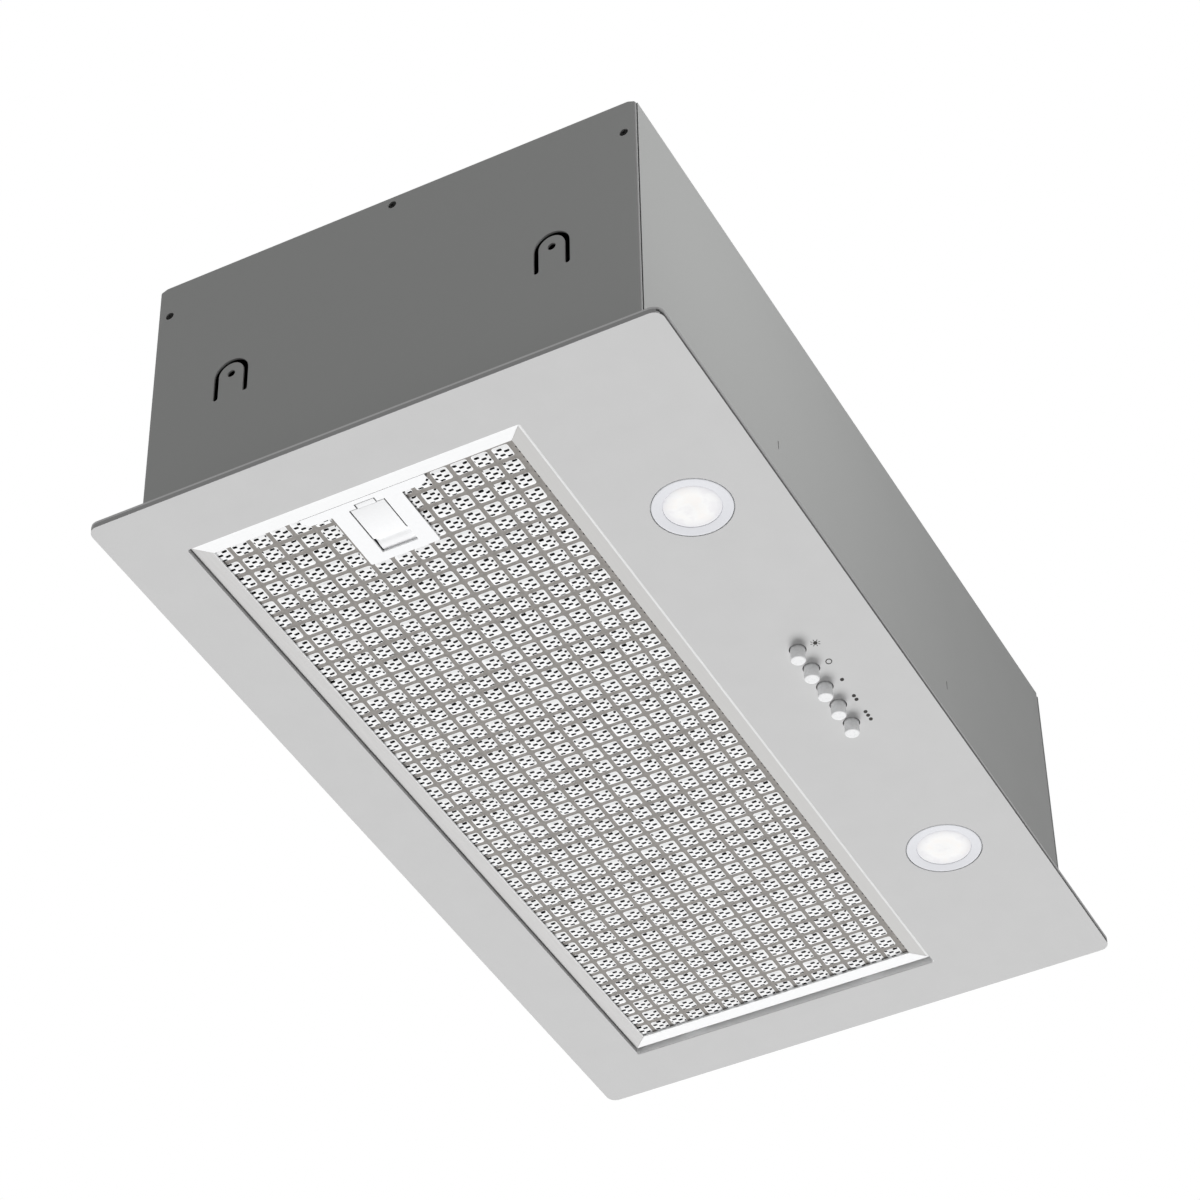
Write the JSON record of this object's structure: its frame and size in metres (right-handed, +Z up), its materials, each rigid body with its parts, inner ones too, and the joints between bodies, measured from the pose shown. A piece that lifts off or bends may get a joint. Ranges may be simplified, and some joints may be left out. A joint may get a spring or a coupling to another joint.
{
  "type": "range hood insert",
  "caption": "Built-in extractor hood insert: boxed steel casing over a wider face panel with a hinged slotted grease filter, a sliding latch, round lamps and push buttons.",
  "frame": {"origin": "centre of the plane where the panel's hem meets the cabinet's underside", "axes": "+X along the length, +Z up into the cabinet, -Y towards the cook, where the lamps and buttons are"},
  "size_m": [0.492, 0.277, 0.2085],
  "materials": {
    "panel_paint": "matt silver-grey paint",
    "casing_steel": "galvanised sheet, satin",
    "zinc_steel": "zinc-plated",
    "black_steel": "blackened",
    "filter_aluminium": "bright satin",
    "cast_aluminium": "plain cast",
    "stator_steel": "varnished laminations and windings",
    "bearing_bronze": "sintered",
    "black_rubber": "soft",
    "dark_plastic": "fine grain",
    "light_plastic": "plain moulded",
    "white_plastic": "smooth, silver-white",
    "frosted_lens": "frosted, lit from behind",
    "spring_steel": "drawn wire"
  },
  "bodies": {
    "casing": {"face_panel": "panel_paint", "panel_nuts": "zinc_steel", "end_wall_left": "casing_steel", "end_wall_right": "casing_steel", "front_wall": "casing_steel", "rear_wall": "casing_steel", "top_plate": "casing_steel", "wall_screws": "black_steel", "outlet_collar": "dark_plastic", "outlet_screws": "zinc_steel", "flap_pin": "zinc_steel", "scroll_housing": "dark_plastic", "inlet_cover": "dark_plastic", "blower_screws": "zinc_steel", "motor_case": "cast_aluminium", "motor_stator": "stator_steel", "motor_bearings": "bearing_bronze", "motor_bracket": "zinc_steel", "motor_grommets": "black_rubber", "capacitor": "light_plastic", "terminal_box": "light_plastic", "terminal_lid": "light_plastic", "cable_gland": "dark_plastic", "lamp_driver": "light_plastic", "lamp_ring_left": "white_plastic", "lamp_ring_right": "white_plastic", "lamp_lens_left": "frosted_lens", "lamp_lens_right": "frosted_lens", "lamp_board_left": "light_plastic", "lamp_board_right": "light_plastic", "lamp_cup_left": "cast_aluminium", "lamp_cup_right": "cast_aluminium", "switch_housing": "dark_plastic", "switch_lid": "dark_plastic", "spring_light": "spring_steel", "spring_off": "spring_steel", "spring_low": "spring_steel", "spring_medium": "spring_steel", "spring_high": "spring_steel"},
    "rotor": {"impeller": "light_plastic", "impeller_nut": "zinc_steel", "motor_rotor": "zinc_steel"},
    "damper_front": {"flap_front": "dark_plastic"},
    "damper_rear": {"flap_rear": "dark_plastic"},
    "filter": {"filter_frame_front": "filter_aluminium", "filter_frame_rear": "filter_aluminium", "filter_frame_left": "filter_aluminium", "filter_frame_right": "filter_aluminium", "filter_face_mesh": "filter_aluminium", "filter_core_mesh": "filter_aluminium", "filter_back_mesh": "filter_aluminium", "latch_plate": "white_plastic", "latch_tray": "dark_plastic", "latch_spring": "spring_steel"},
    "latch": {"latch_slider": "white_plastic"},
    "push_light": {"button_light": "white_plastic"},
    "push_off": {"button_off": "white_plastic"},
    "push_low": {"button_low": "white_plastic"},
    "push_medium": {"button_medium": "white_plastic"},
    "push_high": {"button_high": "white_plastic"}
  },
  "joints": [
    {"name": "impeller_spin", "type": "hinge", "parent": "casing", "child": "rotor", "pos_m": [0, -0.0479, 0.08596], "axis": [1, 0, 0], "continuous": true},
    {"name": "damper_front_swing", "type": "hinge", "parent": "casing", "child": "damper_front", "pos_m": [0, 0, 0.1595], "axis": [-1, 0, 0], "range_deg": [0, 70]},
    {"name": "damper_rear_swing", "type": "hinge", "parent": "casing", "child": "damper_rear", "pos_m": [0, 0, 0.1595], "axis": [1, 0, 0], "range_deg": [0, 70]},
    {"name": "filter_swing", "type": "hinge", "parent": "casing", "child": "filter", "pos_m": [0.2123, 0.02495, -0.002], "axis": [0, -1, 0], "range_deg": [0, 80]},
    {"name": "latch_slide", "type": "slide", "parent": "filter", "child": "latch", "axis": [1, 0, 0], "range_m": [0, 0.003], "stiffness_N_per_m": 400, "springref_m": -0.002, "deforming": ["latch_spring"]},
    {"name": "light_push", "type": "slide", "parent": "casing", "child": "push_light", "axis": [0, 0, 1], "range_m": [0, 0.003], "stiffness_N_per_m": 300, "springref_m": -0.003, "deforming": ["spring_light"]},
    {"name": "off_push", "type": "slide", "parent": "casing", "child": "push_off", "axis": [0, 0, 1], "range_m": [0, 0.003], "stiffness_N_per_m": 300, "springref_m": -0.003, "deforming": ["spring_off"]},
    {"name": "low_push", "type": "slide", "parent": "casing", "child": "push_low", "axis": [0, 0, 1], "range_m": [0, 0.003], "stiffness_N_per_m": 300, "springref_m": -0.003, "deforming": ["spring_low"]},
    {"name": "medium_push", "type": "slide", "parent": "casing", "child": "push_medium", "axis": [0, 0, 1], "range_m": [0, 0.003], "stiffness_N_per_m": 300, "springref_m": -0.003, "deforming": ["spring_medium"]},
    {"name": "high_push", "type": "slide", "parent": "casing", "child": "push_high", "axis": [0, 0, 1], "range_m": [0, 0.003], "stiffness_N_per_m": 300, "springref_m": -0.003, "deforming": ["spring_high"]}
  ]
}
